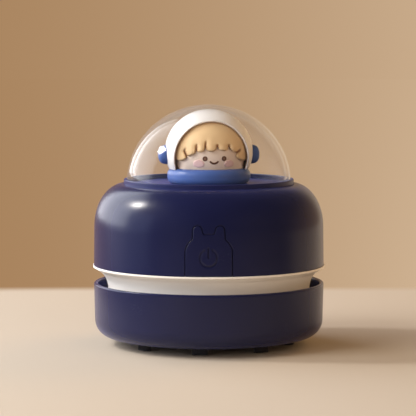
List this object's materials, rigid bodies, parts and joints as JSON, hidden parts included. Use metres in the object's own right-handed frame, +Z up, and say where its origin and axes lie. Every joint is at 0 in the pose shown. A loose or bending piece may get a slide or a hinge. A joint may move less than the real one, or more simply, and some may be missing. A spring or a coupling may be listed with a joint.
{
  "type": "desktop mini vacuum cleaner",
  "caption": "Round desktop crumb vacuum: powered unit on a shallow dust cup with bristle tufts, eared power key and a clear dome over an astronaut figure.",
  "frame": {"origin": "on the axis, at the bristle tips, where the cleaner stands", "axes": "+Z up through the dome, -Y towards the power key, +X to the right seen from the front"},
  "size_m": [0.0848, 0.0848, 0.0879],
  "materials": {
    "navy_plastic": "satin moulded",
    "white_plastic": "satin moulded",
    "clear_dome": "polished clear",
    "figure_white": "satin painted vinyl",
    "figure_blue": "satin painted vinyl",
    "figure_skin": "matt painted vinyl",
    "figure_hair": "satin painted vinyl",
    "print_brown": "printed",
    "print_pink": "printed",
    "bristle_black": "nylon bristle",
    "seal_rubber": "moulded",
    "fan_plastic": "moulded",
    "guard_plastic": "moulded",
    "filter_plastic": "moulded",
    "filter_felt": "pressed felt",
    "bright_steel": "plated",
    "dark_steel": "laminated",
    "magnet": "sintered ferrite",
    "terminal_brass": "stamped",
    "cell_wrap": "shrink wrapped",
    "foam_tape": "foam",
    "board_green": "solder mask",
    "chip_black": "moulded",
    "switch_cap": "moulded",
    "lamp_lens": "milky",
    "lead_red": "extruded",
    "lead_black": "extruded",
    "lead_white": "extruded"
  },
  "bodies": {
    "cup": {"dust_cup": "navy_plastic", "bottom_plate": "navy_plastic", "inlet_nozzle": "navy_plastic", "brush_tufts": "bristle_black"},
    "fan": {"fan_wheel": "fan_plastic", "motor_shaft": "bright_steel", "motor_armature": "dark_steel"},
    "key": {"power_key": "navy_plastic", "switch_plunger": "switch_cap"},
    "main_unit": {"battery_cell": "cell_wrap", "battery_lead_black": "lead_black", "battery_lead_red": "lead_red", "battery_tabs": "bright_steel", "battery_tape": "foam_tape", "board_chips": "chip_black", "board_screws": "bright_steel", "charge_board": "board_green", "charge_lamp": "lamp_lens", "charge_socket": "bright_steel", "cup_seal": "seal_rubber", "dome_cover": "clear_dome", "fan_guard": "guard_plastic", "figure_cheeks": "print_pink", "figure_collar": "figure_blue", "figure_ear_cup_left": "figure_blue", "figure_ear_cup_right": "figure_blue", "figure_eyes": "print_brown", "figure_hair": "figure_hair", "figure_head": "figure_skin", "figure_helmet": "figure_white", "figure_screw": "bright_steel", "figure_smile": "print_brown", "filter_frame": "filter_plastic", "filter_mat": "filter_felt", "guard_screws": "bright_steel", "housing_screws": "bright_steel", "inner_frame": "white_plastic", "motor_can": "bright_steel", "motor_cap": "white_plastic", "motor_lead_black": "lead_black", "motor_lead_red": "lead_red", "motor_magnets": "magnet", "motor_screws": "bright_steel", "motor_sleeve": "seal_rubber", "motor_terminals": "terminal_brass", "socket_tongue": "chip_black", "switch_board": "board_green", "switch_body": "chip_black", "switch_lead_a": "lead_white", "switch_lead_b": "lead_white", "top_deck": "navy_plastic", "upper_housing": "navy_plastic"}
  },
  "joints": [
    {"name": "unit_lift", "type": "slide", "parent": "cup", "child": "main_unit", "axis": [0, 0, 1], "range_m": [0, 0.03]},
    {"name": "fan_spin", "type": "hinge", "parent": "main_unit", "child": "fan", "pos_m": [0, 0, 0.025], "axis": [0, 0, 1], "continuous": true},
    {"name": "key_press", "type": "slide", "parent": "main_unit", "child": "key", "axis": [0, 1, 0], "range_m": [0, 0.0008], "stiffness_N_per_m": 600, "springref_m": -0.0006}
  ]
}
